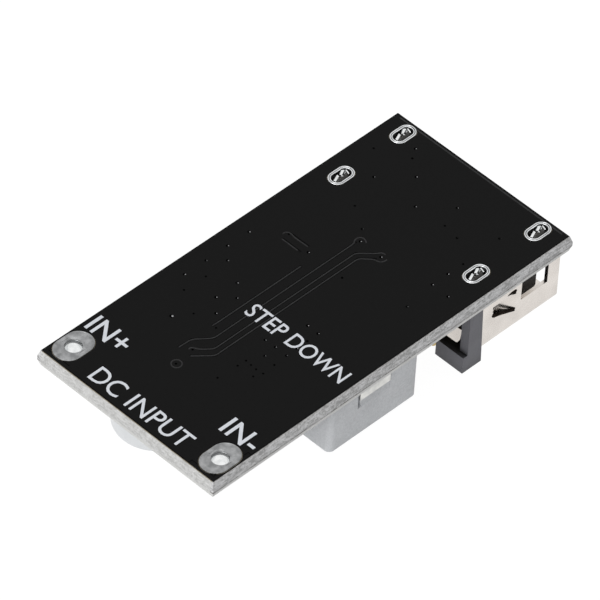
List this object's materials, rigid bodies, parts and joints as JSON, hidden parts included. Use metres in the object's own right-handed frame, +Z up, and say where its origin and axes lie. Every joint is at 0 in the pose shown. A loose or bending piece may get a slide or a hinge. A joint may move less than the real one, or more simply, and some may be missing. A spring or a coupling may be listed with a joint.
{
  "type": "buck converter module",
  "caption": "Small step-down converter board with solder pads for the input wires at one end and a charging socket at the other, its parts hanging below a bare back.",
  "frame": {"origin": "middle of the outline, on the surface that the tall input capacitor and the socket's rear cap rest on", "axes": "+X along the board from the input pads to the socket's mouth, +Y to the positive input pad, +Z up out of the bare back of the board"},
  "size_m": [0.0362, 0.0172, 0.0094],
  "materials": {
    "laminate": "glass-fibre laminate, scored and snapped edges",
    "solder_mask": "satin black solder mask",
    "tinned_copper": "tin plate over copper",
    "solder": "bright solder",
    "shell_sheet": "nickel-plated steel sheet, satin",
    "contact_metal": "gold flash over copper alloy",
    "socket_plastic": "moulded dark grey plastic",
    "powder_core": "pressed iron powder with a light grey coat",
    "can_metal": "bright laminated aluminium can",
    "can_base_plastic": "moulded black plastic",
    "chip_mould": "epoxy moulding, fine matt",
    "lead_frame": "matt tin plate",
    "capacitor_ceramic": "fired ceramic, tan",
    "resistor_film": "glazed black film on alumina"
  },
  "bodies": {
    "root": {"bypass_capacitor_1_body": "capacitor_ceramic", "bypass_capacitor_1_ends": "tinned_copper", "bypass_capacitor_2_body": "capacitor_ceramic", "bypass_capacitor_2_ends": "tinned_copper", "circuit_board": "laminate", "component_lands": "tinned_copper", "contact_data_minus": "contact_metal", "contact_data_plus": "contact_metal", "contact_ground": "contact_metal", "contact_power": "contact_metal", "controller_chip_body": "chip_mould", "controller_chip_leads": "lead_frame", "filter_capacitor_1_body": "capacitor_ceramic", "filter_capacitor_1_ends": "tinned_copper", "filter_capacitor_2_body": "capacitor_ceramic", "filter_capacitor_2_ends": "tinned_copper", "filter_capacitor_3_body": "capacitor_ceramic", "filter_capacitor_3_ends": "tinned_copper", "inductor_body": "powder_core", "inductor_terminals": "tinned_copper", "input_capacitor_base": "can_base_plastic", "input_capacitor_can": "can_metal", "input_capacitor_leads": "lead_frame", "input_pad_negative": "tinned_copper", "input_pad_positive": "tinned_copper", "leg_slot_plating": "tinned_copper", "leg_solder": "solder", "output_capacitor_base": "can_base_plastic", "output_capacitor_can": "can_metal", "output_capacitor_leads": "lead_frame", "protocol_chip_body": "chip_mould", "protocol_chip_leads": "lead_frame", "resistor_1_body": "resistor_film", "resistor_1_ends": "tinned_copper", "resistor_2_body": "resistor_film", "resistor_2_ends": "tinned_copper", "resistor_3_body": "resistor_film", "resistor_3_ends": "tinned_copper", "resistor_4_body": "resistor_film", "resistor_4_ends": "tinned_copper", "socket_insulator": "socket_plastic", "socket_rear_cap": "socket_plastic", "socket_shell": "shell_sheet", "solder_mask_back": "solder_mask", "solder_mask_front": "solder_mask"}
  },
  "joints": []
}
